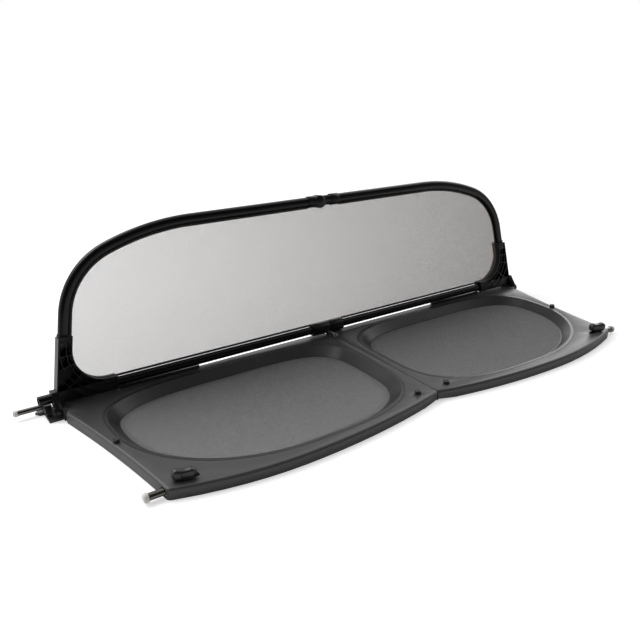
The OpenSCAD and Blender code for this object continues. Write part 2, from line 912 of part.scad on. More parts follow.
// Ribbed lower corner moulding: it holds the tube's end and the lower rail and carries the pivot ear.
module corner_moulding(bore) {
    on_screen() difference() {
        union() {
            upright(cover_w, moulding_w1) moulding_outline(0);
            upright(moulding_w0, cover_w + 1) difference() {
                moulding_outline(0);
                moulding_outline(moulding_wall);
            }
            upright(moulding_w0 + 0.4, cover_w + 1) intersection() {
                moulding_outline(moulding_wall / 2);
                moulding_ribs();
            }
            on_side_line(collar_s - collar_len) translate([0, 0, -4])
                linear_extrude(collar_len + 8) oval(tube_h + 2 * collar_t, tube_t + 2 * collar_t);
            sideways(ear_x0, ear_x1) ear_outline();
        }
        upright(moulding_w0 - 1, moulding_w1 - moulding_wall) intersection() {
            difference() {
                moulding_outline(moulding_wall);
                moulding_ribs();
            }
            translate([0, pocket_s0]) square([2 * deck_half, pocket_s1 - pocket_s0]);
        }
        on_side_line(collar_s - collar_len) linear_extrude(40) oval(tube_h, tube_t);
        translate([0, mid_w, rail_s]) rod_x(rail_d, moulding_in - 1, deck_half + 80);
        upright(mid_w - slot_w / 2, mid_w + slot_w / 2) difference() {
            mesh_corner(mesh_edge - tube_h / 2 + slot_depth, collar_s + 10);
            translate([0, -20]) square([moulding_in - 1, 200]);
        }
        rod_x(bore, ear_x0 - 1, ear_x1 + 1);
    }
}

module corner_left() {
    color("#3a3936") on_side(-1) corner_moulding(pivot_d + 2 * run_gap);
}

module corner_right() {
    color("#3a3936") corner_moulding(pivot_d);
}

module lower_rail(out) {
    on_screen() translate([0, mid_w, rail_s]) difference() {
        rod_x(rail_d, rail_in, out);
        rod_x(rail_d - 2 * tube_wall, rail_in - 1, out + 1);
    }
}

module lower_rail_left() {
    color("#1c1c1d") on_side(-1) lower_rail(rail_out_left);
}

module lower_rail_right() {
    color("#1c1c1d") lower_rail(rail_out_right);
}

// Top joint: a drum on the left half, a fork with a hollow nose on the right half.
module top_joint_left() {
    color("#504c46") on_screen() difference() {
        union() {
            translate([-31, mid_w, screen_h]) rotate([0, 90, 0])
                linear_extrude(20) oval(tube_h + 3, tube_t + 3);
            translate([drum_x, moulding_w0 - 0.6, drum_s]) rotate([-90, 0, 0])
                rotate_extrude() polygon([
                    [0, 0], [drum_r - 3, 0], [drum_r, 1.8],
                    [drum_r, drum_l - 1.4], [drum_r - 1.4, drum_l], [0, drum_l]
                ]);
        }
        translate([-32, mid_w, screen_h]) rotate([0, 90, 0]) linear_extrude(12) oval(tube_h, tube_t);
    }
}

module top_joint_right() {
    color("#504c46") on_screen() difference() {
        union() {
            translate([6, mid_w, screen_h]) rotate([0, 90, 0])
                linear_extrude(24) oval(tube_h - 1, tube_t - 1);
            translate([28, mid_w, screen_h]) rotate([0, 90, 0])
                linear_extrude(21) oval(tube_h + 3, tube_t + 3);
        }
        translate([32, mid_w, screen_h]) rotate([0, 90, 0]) linear_extrude(20) oval(tube_h, tube_t);
        translate([drum_x, 0, drum_s]) rotate([-90, 0, 0]) cylinder(r = drum_r + 0.5, h = 60);
    }
}

module bottom_block(x0, x1) {
    sideways(x0, x1) polygon([
        [moulding_w0 + 0.6, 12], [moulding_w0 + 5, 7.2], [moulding_w1 - 5, 7.2],
        [moulding_w1, 12], [moulding_w1, 27], [moulding_w1 - 6, 33],
        [moulding_w0 + 6, 33], [moulding_w0 + 0.6, 26]
    ]);
}

module bottom_joint_left() {
    color("#504c46") on_screen() difference() {
        union() {
            bottom_block(joint_left, -0.25);
            sideways(-tongue_x1, -tongue_x0) {
                circle(r = 6.5);
                polygon([[-2, 6.1], [6.4, -1], [19, 9], [9, 12]]);
            }
        }
        translate([0, mid_w, rail_s]) rod_x(rail_d, joint_left - 1, -rail_in + 0.2);
        rod_x(centre_pin_d + 2 * run_gap, -tongue_x1 - 1, -tongue_x0 + 1);
    }
}

module bottom_joint_right() {
    color("#504c46") on_screen() difference() {
        bottom_block(0.25, joint_right);
        translate([0, mid_w, rail_s]) rod_x(rail_d, rail_in - 0.2, joint_right + 1);
    }
}

module centre_pin() {
    color("#2b2b2c") on_pivot() {
        rod_x(centre_pin_d, -lug_x1 - 0.2, -tongue_x0 + 0.2);
        rod_x(centre_head_d, -lug_x1 - 2, -lug_x1 - 0.2);
    }
}

// Edge of the screen mesh on the right side, from the top middle to the bottom, inside the centre line by t.
function mesh_path(t) = concat(
    [
        for (i = [0 : shoulder_steps]) let (a = shoulder_turn * i / shoulder_steps, r = shoulder_r - t)
        [shoulder_x + r * sin(a), screen_h - shoulder_r + r * cos(a)]
    ],
    [
        for (i = [1 : corner_steps])
        let (a = shoulder_turn + corner_turn * i / corner_steps, r = corner_r - t)
        [
            corner_end_x - corner_r * cos(side_lean) + r * sin(a),
            corner_end_s - corner_r * sin(side_lean) + r * cos(a)
        ]
    ],
    [
        for (i = [0 : 12])
        let (a = side_lean - (90 + side_lean) * i / 12, r = mesh_r + mesh_edge - t)
        [mesh_cx + r * cos(a), mesh_cs + r * sin(a)]
    ],
    [
        [moulding_in - 1, mesh_s - mesh_edge + t],
        [moulding_in - 1, rail_s + rail_r + 0.05]
    ]
);

module screen_mesh() {
    right = mesh_path(tube_h / 2 - mesh_reach);
    color("#c8c5c2") on_screen() upright(mid_w - cloth_t / 2, mid_w + cloth_t / 2) difference() {
        polygon(concat(right, [for (i = [len(right) - 1 : -1 : 0]) [-right[i].x, right[i].y]]));
        translate([-32, drum_s - drum_r - 0.3]) square([82, 60]);
        translate([joint_left - 0.3, 0]) square([joint_right - joint_left + 0.6, 33.3]);
    }
}

translate(-base) {
    deck_left();
    deck_right();
    well_ring_left();
    well_ring_right();
    well_mesh_left();
    well_mesh_right();
    buffers_left();
    buffers_right();
    corner_bracket_left();
    corner_bracket_right();
    bracket_screws_left();
    bracket_screws_right();
    pivot_pin_left();
    pivot_pin_right();
    rear_pin_left();
    rear_pin_right();
    rear_tip_left();
    rear_tip_right();
    deck_hinge_pin();
    front_pin_left();
    front_pin_right();
    front_tip_left();
    front_tip_right();
    knob_left();
    knob_right();
    knob_screw_left();
    knob_screw_right();
    pin_spring_left();
    pin_spring_right();
    upper_tube_left();
    upper_tube_right();
    corner_left();
    corner_right();
    lower_rail_left();
    lower_rail_right();
    top_joint_left();
    top_joint_right();
    bottom_joint_left();
    bottom_joint_right();
    centre_pin();
    screen_mesh();
}
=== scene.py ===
import bpy
import mathutils
import numpy as np
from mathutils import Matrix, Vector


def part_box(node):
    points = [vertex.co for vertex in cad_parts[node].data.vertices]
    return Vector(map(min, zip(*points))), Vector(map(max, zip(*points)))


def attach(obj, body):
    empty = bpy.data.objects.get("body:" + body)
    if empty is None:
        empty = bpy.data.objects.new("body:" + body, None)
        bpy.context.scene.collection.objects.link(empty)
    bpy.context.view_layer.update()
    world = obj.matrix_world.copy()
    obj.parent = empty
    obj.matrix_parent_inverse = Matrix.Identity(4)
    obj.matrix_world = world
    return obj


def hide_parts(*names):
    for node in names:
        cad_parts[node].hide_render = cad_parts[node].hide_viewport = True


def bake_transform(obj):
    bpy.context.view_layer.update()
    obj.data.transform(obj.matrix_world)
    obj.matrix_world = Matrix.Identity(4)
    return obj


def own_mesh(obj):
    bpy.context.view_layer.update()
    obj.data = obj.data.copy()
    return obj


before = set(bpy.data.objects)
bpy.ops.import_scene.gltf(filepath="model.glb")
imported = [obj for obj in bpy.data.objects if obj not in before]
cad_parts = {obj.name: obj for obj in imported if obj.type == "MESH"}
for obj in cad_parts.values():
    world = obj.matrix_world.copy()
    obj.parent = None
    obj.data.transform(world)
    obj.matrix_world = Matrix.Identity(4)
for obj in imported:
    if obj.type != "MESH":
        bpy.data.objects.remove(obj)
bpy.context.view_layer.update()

# Deck shells: two mirrored injection-moulded ABS trays, 3 mm thick, with a skirt, ribs and a
# hole for each well. The tool was spark-eroded, which leaves a fine even grain, and the top
# rolls over into the skirt along the front and the sides.
halves = {"left": -1, "right": 1}

# the seam's front end at the deck top, in metres: shapes below are worked out from here
seam_front = np.array([0.017, -0.186, 0.020])

# the deck's outline in metres: the front edge bows out by bow, furthest at bow_x, and takes near_span
# to get there from the seam and far_span to fall back; the side leans and curves
bow = 0.038
bow_x = near_span = 0.32
far_span = 0.23
half_width = 0.55
side_slope = 0.115
side_curve = 0.2


def front_edge(x):
    """The front edge's row at x: two arcs that meet at bow_x, radius = (span^2 + bow^2) / (2 bow)."""
    radius = np.where(x < bow_x, near_span ** 2 + bow ** 2, far_span ** 2 + bow ** 2) / (2 * bow)
    return radius - bow - np.sqrt(radius ** 2 - (x - bow_x) ** 2)


def deck_inside(x, y):
    """Distance inside the front and side edges; the side edge is at half_width + slope y + curve y^2."""
    return np.minimum(y - front_edge(x), half_width + side_slope * y + side_curve * y ** 2 - x)


def put(tree, kind, inputs=(), **settings):
    """Adds a node: settings are its own fields, and inputs pairs each socket with a value or with
    another node's output."""
    made = tree.nodes.new(kind)
    for field, value in settings.items():
        setattr(made, field, value)
    for socket, value in dict(inputs).items():
        if isinstance(value, bpy.types.NodeSocket):
            tree.links.new(value, made.inputs[socket])
        else:
            made.inputs[socket].default_value = value
    return made


def linear(code, gain=1.0):
    """An sRGB hex colour as linear RGBA: each channel c becomes ((c + 0.055) / 1.055) to the power 2.4."""
    srgb = np.array([int(code[i:i + 2], 16) for i in (1, 3, 5)]) / 255
    rgb = np.where(srgb < 0.04045, srgb / 12.92, ((srgb + 0.055) / 1.055) ** 2.4) * gain
    return (*np.clip(rgb, 0, 1).tolist(), 1.0)


def blank(name):
    """A material with nothing in it but its output, as (material, node tree, output node)."""
    material = bpy.data.materials.new(name)
    material.use_nodes = True
    material.node_tree.nodes.clear()
    return material, material.node_tree, put(material.node_tree, "ShaderNodeOutputMaterial")


def moulded(name, colour, rough, grain_mm, depth_mm, cloud=0.06, speck=0.0, ior=1.53):
    """Moulded plastic or thick paint: grain_mm is the width of its texture's pits and depth_mm their
    depth. Clouds some 140 mm wide shift the colour by the share cloud, and pale dust in specks some
    2 mm apart is mixed in by the share speck."""
    material, tree, out = blank(name)
    where = put(tree, "ShaderNodeTexCoord").outputs["Object"]
    pits = put(tree, "ShaderNodeTexNoise", {
        "Vector": where, "Scale": 1000 / grain_mm / 2, "Detail": 2.0, "Roughness": 0.55,
    })
    broad = put(tree, "ShaderNodeTexNoise", {
        "Vector": where, "Scale": 7.0, "Detail": 4.0, "Roughness": 0.6,
    })
    tint = put(tree, "ShaderNodeMix", {
        "Factor": broad.outputs["Fac"],
        "A": linear(colour, 1 - 2 * cloud), "B": linear(colour, 1 + 2 * cloud),
    }, data_type="RGBA")
    dust = put(tree, "ShaderNodeTexNoise", {"Vector": where, "Scale": 420.0, "Detail": 1.0})
    seen = put(tree, "ShaderNodeMapRange", {
        "Value": dust.outputs["Fac"], "From Min": 0.68, "From Max": 0.74, "To Min": 0.0, "To Max": speck,
    })
    dusty = put(tree, "ShaderNodeMix", {
        "Factor": seen.outputs["Result"], "A": tint.outputs["Result"], "B": linear("#a9a8a4"),
    }, data_type="RGBA")
    gloss = put(tree, "ShaderNodeMapRange", {
        "Value": broad.outputs["Fac"], "From Min": 0.3, "From Max": 0.7,
        "To Min": rough - 0.04, "To Max": rough + 0.05,
    })
    relief = put(tree, "ShaderNodeBump", {
        "Height": pits.outputs["Fac"], "Strength": 0.5, "Distance": depth_mm / 1000,
    })
    skin = put(tree, "ShaderNodeBsdfPrincipled", {
        "Base Color": dusty.outputs["Result"], "Roughness": gloss.outputs["Result"],
        "IOR": ior, "Normal": relief.outputs["Normal"],
    })
    tree.links.new(skin.outputs["BSDF"], out.inputs["Surface"])
    return material


def dress(node, material, edge_mm=0.0, sharp=32.0):
    """A CAD node gets its material and smooth curved faces. Its triangles are welded; where edge_mm is
    given, flat faces are joined and edges over sharp degrees rounded by it, else they are split."""
    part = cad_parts[node]
    part.data.materials.clear()
    part.data.materials.append(material)
    part.data.polygons.foreach_set("use_smooth", np.ones(len(part.data.polygons), dtype=bool))
    part.modifiers.new("weld", "WELD").merge_threshold = 2e-6
    if edge_mm:
        flat = part.modifiers.new("flat", "DECIMATE")
        flat.decimate_type = "DISSOLVE"
        flat.angle_limit = np.radians(0.4)
        ease = part.modifiers.new("ease", "BEVEL")
        ease.width = edge_mm / 1000
        ease.segments = 2
        ease.limit_method = "ANGLE"
        ease.angle_limit = np.radians(sharp)
        ease.harden_normals = True
    else:
        part.modifiers.new("split", "EDGE_SPLIT").split_angle = np.radians(sharp)


def rolled(node, inside, radius_mm, reach=0.004):
    """Rounds a node's top outer edge to radius_mm: the edges at the deck top, no further than reach
    from the outline, where an upright face ends. inside(x, y) gives the distance from the outline."""
    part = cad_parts[node]
    mesh = part.data
    spots = np.empty(len(mesh.vertices) * 3)
    corners = np.empty(len(mesh.loops), dtype=np.int32)
    facing = np.empty(len(mesh.polygons) * 3)
    ends = np.empty(len(mesh.edges) * 2, dtype=np.int32)
    mesh.vertices.foreach_get("co", spots)
    mesh.loops.foreach_get("vertex_index", corners)
    mesh.polygons.foreach_get("normal", facing)
    mesh.edges.foreach_get("vertices", ends)
    spots = spots.reshape(-1, 3) - seam_front
    corners = corners.reshape(-1, 3)
    ends = ends.reshape(-1, 2)

    # a place is the number that loose triangles' corners share where they meet
    rim = (abs(spots[:, 2]) < 1e-5) & (inside(abs(spots[:, 0]), spots[:, 1]) < reach)
    place = np.unique(np.round(spots[:, :2], 5) + 0.0, axis=0, return_inverse=True)[1].ravel()
    upright = corners[(abs(facing[2::3]) < 0.1) & (rim[corners].sum(axis=1) == 2)]
    walls = np.sort(place[upright[rim[upright]].reshape(-1, 2)], axis=1) @ [len(place), 1]
    pairs = np.sort(place[ends], axis=1) @ [len(place), 1]
    met = rim[ends].all(axis=1) & np.isin(pairs, walls)
    weight = mesh.attributes.new("bevel_weight_edge", "FLOAT", "EDGE")
    weight.data.foreach_set("value", met.astype(float))
    roll = part.modifiers.new("roll", "BEVEL")
    roll.width = radius_mm / 1000
    roll.segments = 5
    roll.limit_method = "WEIGHT"
    roll.use_clamp_overlap = False
    roll.harden_normals = True
    part.modifiers.move(len(part.modifiers) - 1, 2)


# a 0.9 mm grain stands in for the real one of about 0.3 mm, which is too fine to show
deck_abs = moulded("spark-grained ABS", "#464646", 0.38, 0.9, 0.05, cloud=0.03)
for half in halves:
    dress(f"deck_{half}", deck_abs, edge_mm=0.5)
    rolled(f"deck_{half}", deck_inside, 5)

# Front skirts' inner ends: near the seam the CAD skirt stops short of the floor, and the real
# one runs on down. It is moulded in one with the deck, and its foot slants up to the seam, so
# that it just clears the other half when the deck is folded.
skirt_top, skirt_foot, floor_level = -0.0118, -0.0165, -0.02
skirt_wall = 0.0029
# it stands 0.04 mm proud of the CAD's face, so that the two don't lie in one plane
proud = 0.00004
# a full fold of 170 degrees leaves 10, which the two halves share
spare = np.radians(5)


def tube_faces(rows, columns):
    """Faces of a closed tube whose points are rows rings of columns each: quads from ring to ring, and
    one face over each end."""
    r, c = np.mgrid[0:rows - 1, 0:columns]
    k = (c + 1) % columns
    quads = np.stack([r * columns + c, r * columns + k, (r + 1) * columns + k, (r + 1) * columns + c], -1)
    last = (rows - 1) * columns
    return quads.reshape(-1, 4).tolist() + [list(range(columns))[::-1], list(range(last, last + columns))]


def build(name, points, faces, side=1, smooth=True):
    """A mesh object from points in metres and faces; side -1 mirrors it across the seam and turns its
    faces round again."""
    points = points * [side, 1, 1] + seam_front
    faces = [f[::-1] if side < 0 else f for f in faces]
    mesh = bpy.data.meshes.new(name)
    mesh.from_pydata(points.tolist(), [], faces)
    mesh.polygons.foreach_set("use_smooth", np.full(len(mesh.polygons), smooth))
    piece = bpy.data.objects.new(name, mesh)
    bpy.context.scene.collection.objects.link(piece)
    return piece


along = np.linspace(0.00075, 0.0455, 24)
foot = np.maximum(floor_level, skirt_foot - along * np.tan(spare))
top = np.full(len(along), skirt_top)
front, back = front_edge(along) - proud, front_edge(along) + skirt_wall
skirt_rings = np.stack([
    np.column_stack([along, row, level])
    for row, level in ((back, foot), (back, top), (front, top), (front, foot))
], axis=1)
for half, side in halves.items():
    skirt = build(
        f"front_skirt_{half}", skirt_rings.reshape(-1, 3), tube_faces(*skirt_rings.shape[:2]),
        side=side, smooth=False,
    )
    skirt.data.materials.append(deck_abs)
    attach(skirt, f"deck_{half}")

# Deck hinge pin and screws: plain steel, blackened in hot oxide and oiled. The finish is a
# deep brown-black with a soft sheen and no colour of its own.


def steel(name, colour, rough, lay_mm, stretch=(1, 1, 1), metallic=1.0):
    """Machined steel: lay_mm is the spacing of its tool marks, and stretch lengthens them along an axis.
    Stains some 8 mm wide shift its colour."""
    material, tree, out = blank(name)
    where = put(tree, "ShaderNodeTexCoord").outputs["Object"]
    drawn = put(tree, "ShaderNodeMapping", {
        "Vector": where, "Scale": tuple(1000 / lay_mm / s for s in stretch),
    })
    marks = put(tree, "ShaderNodeTexNoise", {
        "Vector": drawn.outputs["Vector"], "Scale": 1.0, "Detail": 3.0,
    })
    stain = put(tree, "ShaderNodeTexNoise", {
        "Vector": where, "Scale": 130.0, "Detail": 4.0, "Roughness": 0.65,
    })
    tint = put(tree, "ShaderNodeMix", {
        "Factor": stain.outputs["Fac"], "A": linear(colour, 0.72), "B": linear(colour, 1.3),
    }, data_type="RGBA")
    gloss = put(tree, "ShaderNodeMapRange", {
        "Value": marks.outputs["Fac"], "From Min": 0.3, "From Max": 0.7,
        "To Min": rough - 0.07, "To Max": rough + 0.08,
    })
    relief = put(tree, "ShaderNodeBump", {
        "Height": marks.outputs["Fac"], "Strength": 0.25, "Distance": 0.00003,
    })
    skin = put(tree, "ShaderNodeBsdfPrincipled", {
        "Base Color": tint.outputs["Result"], "Metallic": metallic, "Roughness": gloss.outputs["Result"],
        "Normal": relief.outputs["Normal"],
    })
    tree.links.new(skin.outputs["BSDF"], out.inputs["Surface"])
    return material


blackened = steel("blackened steel", "#3a3836", 0.38, 0.5)
dress("deck_hinge_pin", blackened)
for half in halves:
    dress(f"bracket_screws_{half}", blackened)
    dress(f"knob_screw_{half}", blackened)

# Well rings: a flange let into each deck half and a wall that slants down to the cloth.
# They are the same ABS as the deck, from a smoother tool, so the wall shows soft sheen.
ring_abs = moulded("satin ABS", "#2b2b2c", 0.34, 0.7, 0.02, cloud=0.03)
for half in halves:
    dress(f"well_ring_{half}", ring_abs, sharp=28)

# Well cloths: polyester mesh, stretched over the ledge at the foot of each ring and welded
# to it. Light comes up through the open weave, so each floor looks mid grey and quite flat.
# Threads 1.2 mm apart stand in for the real ones at about 1 mm.
thread_pitch = 1.2
# the right well's edge in mm, a quarter a row: its end, the row where it is widest, its depth from
# there and the exponent of its curve
well_middle = 288.5
well_quarters = ((555, 215, 122, 3.2), (555, 215, -223, 2.1), (22, 165, -173, 3.1), (22, 165, 172, 4.3))
# the cloth ends on the ledge, this far inside the edge and below the deck top
ledge_in, ledge_down = 19.7, 17.6


def well_outline(grow, steps=64):
    """The right well's edge grown by grow mm, clockwise from the rear middle. Each quarter is a
    superellipse: x = middle + half width * sin(t)^(2/n) and y = row + depth * cos(t)^(2/n)."""
    t = np.linspace(0, np.pi / 2, steps, endpoint=False)
    loop = []
    for k, (end, row, depth, n) in enumerate(well_quarters):
        turn = np.pi / 2 - t if k % 2 else t
        across = np.sign(end - well_middle) * (abs(end - well_middle) + grow) * np.sin(turn) ** (2 / n)
        fore = np.sign(depth) * (abs(depth) + grow) * np.cos(turn) ** (2 / n)
        loop.append(np.column_stack([well_middle + across, row + fore]))
    return np.concatenate(loop)


def in_outline(loop, u, v):
    """Whether each point lies in a closed loop: it does where a ray towards +u crosses the loop an odd
    number of times."""
    a, b = loop, np.roll(loop, -1, axis=0)
    over = (a[:, 1] > v[:, None]) != (b[:, 1] > v[:, None])
    rise = np.where(b[:, 1] == a[:, 1], 1, b[:, 1] - a[:, 1])
    cross = a[:, 0] + (v[:, None] - a[:, 1]) * (b[:, 0] - a[:, 0]) / rise
    return (over & (u[:, None] < cross)).sum(axis=1) % 2 == 1


def stretches(at, held):
    """The stretches of at, as (first, last) pairs, over which held is true."""
    turns = np.flatnonzero(np.diff(np.concatenate([[False], held, [False]]).astype(int)))
    return [(at[a], at[b - 1]) for a, b in zip(turns[::2], turns[1::2]) if b - a > 1]


def woven(inside, low, high, width, depth, bends=(), sample=0.25):
    """Threads of a plain weave that fill a flat outline, as points (u, v, height) in mm and faces: one at
    each multiple of thread_pitch, both ways, where inside(u, v) holds. A thread is a closed four-sided bar,
    width wide in the plane and depth deep. Those along u lie a fifth of depth higher, and have a joint
    at each u in bends."""
    section = np.array([[-1, -1], [1, -1], [1, 1], [-1, 1]]) * [width / 2, depth / 2]
    points, faces, count = [], [], 0
    for run, step in ((0, 1), (1, 0)):
        at = np.arange(low[run], high[run], sample)
        joints = bends if run == 0 else ()
        for line in np.arange(np.ceil(low[step] / thread_pitch), high[step] / thread_pitch) * thread_pitch:
            spots = (at, np.full(len(at), line))
            for first, last in stretches(at, inside(spots[run], spots[step])):
                stops = np.array([first, *[b for b in joints if first < b < last], last])
                bar = np.empty((len(stops), 4, 3))
                bar[..., run] = stops[:, None]
                bar[..., step] = line + section[:, 0]
                bar[..., 2] = section[:, 1] + (0.1 - 0.2 * run) * depth
                quads = np.array(tube_faces(len(stops), 4))
                points.append(bar.reshape(-1, 3))
                faces.append((quads if run else quads[:, ::-1]) + count)
                count += bar[..., 0].size
    return np.concatenate(points), np.concatenate(faces).tolist()


def polyester(name, colour, rough=0.8):
    """Melt-spun thread: dull, with slubs and dye that vary over about 6 mm."""
    material, tree, out = blank(name)
    where = put(tree, "ShaderNodeTexCoord").outputs["Object"]
    slub = put(tree, "ShaderNodeTexNoise", {
        "Vector": where, "Scale": 160.0, "Detail": 3.0, "Roughness": 0.7,
    })
    tint = put(tree, "ShaderNodeMix", {
        "Factor": slub.outputs["Fac"], "A": linear(colour, 0.7), "B": linear(colour, 1.3),
    }, data_type="RGBA")
    skin = put(tree, "ShaderNodeBsdfPrincipled", {
        "Base Color": tint.outputs["Result"], "Roughness": rough, "Specular IOR Level": 0.15,
    })
    tree.links.new(skin.outputs["BSDF"], out.inputs["Surface"])
    return material


well_thread = polyester("mid grey polyester thread", "#8c8c8c")
edge = well_outline(-ledge_in)
well_points, well_faces = woven(
    lambda u, v: in_outline(edge, u, v), edge.min(axis=0), edge.max(axis=0), width=0.6, depth=0.28,
)
well_points -= [0, 0, ledge_down]
for half, side in halves.items():
    cloth = build(f"well_cloth_{half}", well_points / 1000, well_faces, side=side, smooth=False)
    cloth.data.materials.append(well_thread)
    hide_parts(f"well_mesh_{half}")
    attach(cloth, f"deck_{half}")

# Buffers: rubber buttons pushed through the deck, which the folded screen lies on. Rubber
# from a mould is dark, dull and slightly chalky on top.
rubber = moulded("moulded rubber", "#1c1c1d", 0.55, 0.6, 0.03, cloud=0.05, speck=0.1)
for half in halves:
    dress(f"buffers_{half}", rubber)

# Corner brackets: cast and tumbled, then painted dark grey. The paint is thick enough to
# round the edges and shows a slight orange peel.
casting = moulded("grey painted casting", "#2e2e2e", 0.38, 1.6, 0.06, cloud=0.08)
for half in halves:
    dress(f"corner_bracket_{half}", casting, edge_mm=0.5)

# Pivot pins: turned steel with a flanged head, which the screen's feet turn on. They are
# phosphated, which leaves a mottled near black.
phosphated = steel("phosphated steel", "#2e2b29", 0.33, 0.9, metallic=0.6)
for half in halves:
    dress(f"pivot_pin_{half}", phosphated)

# Locating pins: ground bar with a dark nickel plate, capped with a white acetal tip that
# keeps it from marking the trim. The plate mirrors what is near; the tip glows softly.
nickel = steel("dark nickel plate", "#6d6a66", 0.22, 0.35, stretch=(1, 6, 6))
acetal = moulded("white acetal", "#efeeea", 0.25, 0.8, 0.01, cloud=0.01, ior=1.48)
for half in halves:
    for end in ("rear", "front"):
        dress(f"{end}_pin_{half}", nickel)
        dress(f"{end}_tip_{half}", acetal)


def coil(length, turns=8, wire=1.2, mean_r=4.6, steps=30, sides=10):
    """A helix along x from 0 to length mm, as points and faces: rings of wire, steps of them a turn,
    each at mean_r from the axis and turned with it."""
    turn = 2 * np.pi * np.linspace(0, turns, turns * steps + 1)[:, None]
    a = np.linspace(0, 2 * np.pi, sides, endpoint=False)
    r = mean_r + wire / 2 * np.cos(a)
    x = wire / 2 + (length - wire) * turn / (2 * np.pi * turns) + wire / 2 * np.sin(a)
    points = np.stack([x, r * np.cos(turn), r * np.sin(turn)], -1)
    return points.reshape(-1, 3), tube_faces(len(turn), sides)


bright_wire = steel("spring wire", "#9a9a98", 0.25, 0.3)
low, high = (np.array(corner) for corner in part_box("pin_spring_right"))
wall_end = np.array([low[0], (low[1] + high[1]) / 2, (low[2] + high[2]) / 2]) - seam_front
length = high[0] - low[0]
coil_points, coil_faces = coil(length * 1000)
for half, side in halves.items():
    spring = build(f"coil_{half}", coil_points / 1000 + wall_end, coil_faces, side=side)
    spring.data.materials.append(bright_wire)
    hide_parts(f"pin_spring_{half}")
    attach(spring, f"deck_{half}")
    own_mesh(spring)

# Knobs: black ABS, moulded with a fat lobe at each end for a thumb to push on, a shallow dip
# between them and a hollowed panel in front. The two are the same part, and both stand turned
# on their round posts.
knob_turn = np.radians(-20)
# sizes in mm: half the length, where the lobes' rounding starts, the waist's half depth, what the
# lobes add to it, half the height and the height of the middle over the deck
knob_half, lobe_from, waist_d, lobe_d, knob_h, knob_mid = 20, 11, 7.9, 0.6, 9.4, 10
dip = panel_in = 1.8
post_r, post_foot, post_top = 4, -9.8, 2


def ramp(value, low, high):
    """0 below low, 1 above high and a smooth rise between."""
    t = np.clip((value - low) / (high - low), 0, 1)
    return t * t * (3 - 2 * t)


def squared_off(c):
    """A cosine or sine drawn out, so that the circle they make becomes |x|^3 + |y|^3 = 1."""
    return np.sign(c) * abs(c) ** (2 / 3)


def knob_shape(rows=64, columns=72, post_sides=24):
    """A knob round its own middle, in mm: superelliptic sections along x that shrink over each end to
    round the lobes. The top dips between them, the front has a panel let in, and a post is below."""
    x = -knob_half * np.cos(np.linspace(0.02, np.pi - 0.02, rows))[:, None]
    a = np.linspace(0, 2 * np.pi, columns, endpoint=False)
    lobe = knob_half - lobe_from
    ends = np.sqrt(1 - (np.clip(abs(x) - lobe_from, 0, lobe) / (lobe + 0.05)) ** 2)
    y = -(waist_d + lobe_d * ramp(abs(x), 2, 12)) * ends * squared_off(np.cos(a))
    z = knob_mid + knob_h * ends * squared_off(np.sin(a))
    level = abs(z - knob_mid) / (knob_h * ends)
    panel = ramp(x, -4.6, -3.6) * (1 - ramp(x, 17.6, 18.4)) * (1 - ramp(level, 0.7, 0.82)) * (y < 0)
    z -= dip * (1 - ramp(abs(x), 1, 12)) * ramp(z, 9, 18)
    y = y + panel_in * panel
    body = np.stack(np.broadcast_arrays(x, y, z), -1).reshape(-1, 3)
    t = np.linspace(0, 2 * np.pi, post_sides, endpoint=False)
    post = [
        np.column_stack([post_r * np.cos(t), post_r * np.sin(t), np.full(post_sides, height)])
        for height in (post_foot, post_top)
    ]
    post_faces = [[v + len(body) for v in face] for face in tube_faces(2, post_sides)]
    return np.concatenate([body, *post]), tube_faces(rows, columns) + post_faces


knob_abs = moulded("black ABS", "#2c2c2d", 0.34, 0.8, 0.03, cloud=0.06)
knob_points, knob_faces = knob_shape()
knob_points = knob_points @ [
    [np.cos(knob_turn), np.sin(knob_turn), 0], [-np.sin(knob_turn), np.cos(knob_turn), 0], [0, 0, 1],
]
for half in halves:
    low, high = (np.array(corner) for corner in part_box(f"knob_{half}"))
    stand = [*((low + high)[:2] / 2 - seam_front[:2]), 0]
    grip = build(f"thumb_knob_{half}", knob_points / 1000 + stand, knob_faces)
    grip.data.materials.append(knob_abs)
    grip.modifiers.new("crisp", "EDGE_SPLIT").split_angle = np.radians(50)
    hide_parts(f"knob_{half}")
    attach(grip, f"pin_{half}")

# Frame tubes and lower rails: drawn aluminium, powder coated satin black. The tubes are oval,
# bent twice, with a groove inside for the cloth. The coat has a faint orange peel and throws
# one long soft highlight down each bend.

# the screen's pivot line in mm, behind and above the seam's front end at the deck top, and its lean
pivot_y, pivot_z, screen_lean = 342, -3, np.radians(7)
# the tube's centre line in mm: its foot, the level of its top, the radii of its two bends, its
# distance behind the pivot line, the sides' lean and the shoulder's turn
foot_x, top_s, corner_r, shoulder_r, mid_w = 602.9, 307, 145, 500, 18.3
side_lean, shoulder_turn = np.radians(10.8), np.radians(20)
shoulder_s = top_s - shoulder_r * (1 - np.cos(shoulder_turn))
bend_s = shoulder_s - corner_r * (np.cos(shoulder_turn) - np.sin(side_lean))
bend_x = foot_x - bend_s * np.tan(side_lean)
shoulder_x = bend_x - corner_r * (np.cos(side_lean) - np.sin(shoulder_turn))
start_x = shoulder_x - shoulder_r * np.sin(shoulder_turn)
# the section in mm, and the ends of each tube: at its centre joint and in its corner moulding
tube_h, tube_d, groove_w, groove_in = 22, 18, 2.6, 8.6
tube_starts, tube_foot = {"left": 20, "right": 32}, 117


def on_screen(x, w, s):
    """Points of the leaning screen, from mm: w is the distance behind the pivot line and s the height
    along the screen."""
    x, w, s = np.broadcast_arrays(x, w, s)
    y = pivot_y + w * np.cos(screen_lean) + s * np.sin(screen_lean)
    z = pivot_z + s * np.cos(screen_lean) - w * np.sin(screen_lean)
    return np.stack([x, y, z], -1) / 1000


